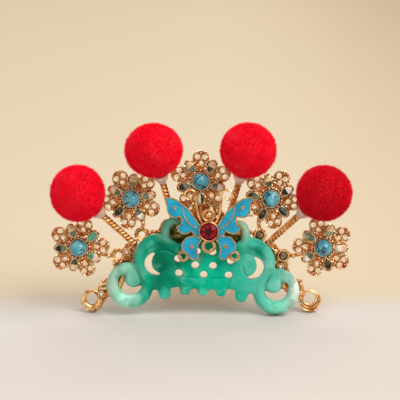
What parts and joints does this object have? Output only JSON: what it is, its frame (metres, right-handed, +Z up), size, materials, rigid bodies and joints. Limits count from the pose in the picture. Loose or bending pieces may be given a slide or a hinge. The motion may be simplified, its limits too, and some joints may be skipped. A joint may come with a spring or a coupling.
{
  "type": "hair ornament",
  "caption": "Opera-headdress hair ornament: gilt arch with filigree flowers and red pompoms, carved green scroll plate, enamelled butterfly in front and a plain comb behind.",
  "frame": {"origin": "centre of the footprint on the surface that it stands on", "axes": "+X to the viewer's right along the ornament, +Y away from the viewer towards the comb's teeth, +Z up; all that is seen leans back from +Z by 8 degrees"},
  "size_m": [0.0808, 0.0392, 0.053],
  "materials": {
    "jade_resin": "carved and polished jade-look resin, emerald green clouding to pale mint",
    "rose_gold": "cast and wire filigree in bright rose-gold plating, dark in its recesses",
    "blue_enamel": "glossy sky-blue enamel, slightly mottled",
    "red_stone": "faceted dark red stone",
    "turquoise": "polished turquoise with dark navy veins",
    "mirror_stone": "small faceted foil-backed stones that mirror dark and pale",
    "brown_stone": "small faceted smoky brown stones",
    "red_velvet": "dense short pile of bright red fibre",
    "pale_collar": "pale pink translucent glue collar"
  },
  "bodies": {
    "root": {"jade_plate": "jade_resin", "gilt_frame": "rose_gold", "comb": "rose_gold", "butterfly": "rose_gold", "enamel_left": "blue_enamel", "enamel_right": "blue_enamel", "ruby": "red_stone", "flower_1": "rose_gold", "flower_2": "rose_gold", "flower_3": "rose_gold", "flower_4": "rose_gold", "flower_5": "rose_gold", "turquoise_1": "turquoise", "turquoise_2": "turquoise", "turquoise_3": "turquoise", "turquoise_4": "turquoise", "turquoise_5": "turquoise", "mirror_1_1": "mirror_stone", "mirror_1_2": "mirror_stone", "mirror_1_3": "mirror_stone", "mirror_1_4": "mirror_stone", "mirror_1_5": "mirror_stone", "mirror_2_1": "mirror_stone", "mirror_2_2": "mirror_stone", "mirror_2_3": "mirror_stone", "mirror_2_4": "mirror_stone", "mirror_2_5": "mirror_stone", "mirror_3_1": "mirror_stone", "mirror_3_2": "mirror_stone", "mirror_3_3": "mirror_stone", "mirror_3_4": "mirror_stone", "mirror_3_5": "mirror_stone", "mirror_4_1": "mirror_stone", "mirror_4_2": "mirror_stone", "mirror_4_3": "mirror_stone", "mirror_4_4": "mirror_stone", "mirror_4_5": "mirror_stone", "mirror_5_1": "mirror_stone", "mirror_5_2": "mirror_stone", "mirror_5_3": "mirror_stone", "mirror_5_4": "mirror_stone", "mirror_5_5": "mirror_stone", "pompom_1": "red_velvet", "pompom_2": "red_velvet", "pompom_3": "red_velvet", "pompom_4": "red_velvet", "collar_1": "pale_collar", "collar_2": "pale_collar", "collar_3": "pale_collar", "collar_4": "pale_collar", "stem_1": "rose_gold", "stem_2": "rose_gold", "stem_3": "rose_gold", "stem_4": "rose_gold", "frame_stone_1": "brown_stone", "frame_stone_2": "brown_stone", "frame_stone_3": "brown_stone", "frame_stone_4": "brown_stone", "frame_stone_5": "brown_stone"}
  },
  "joints": []
}
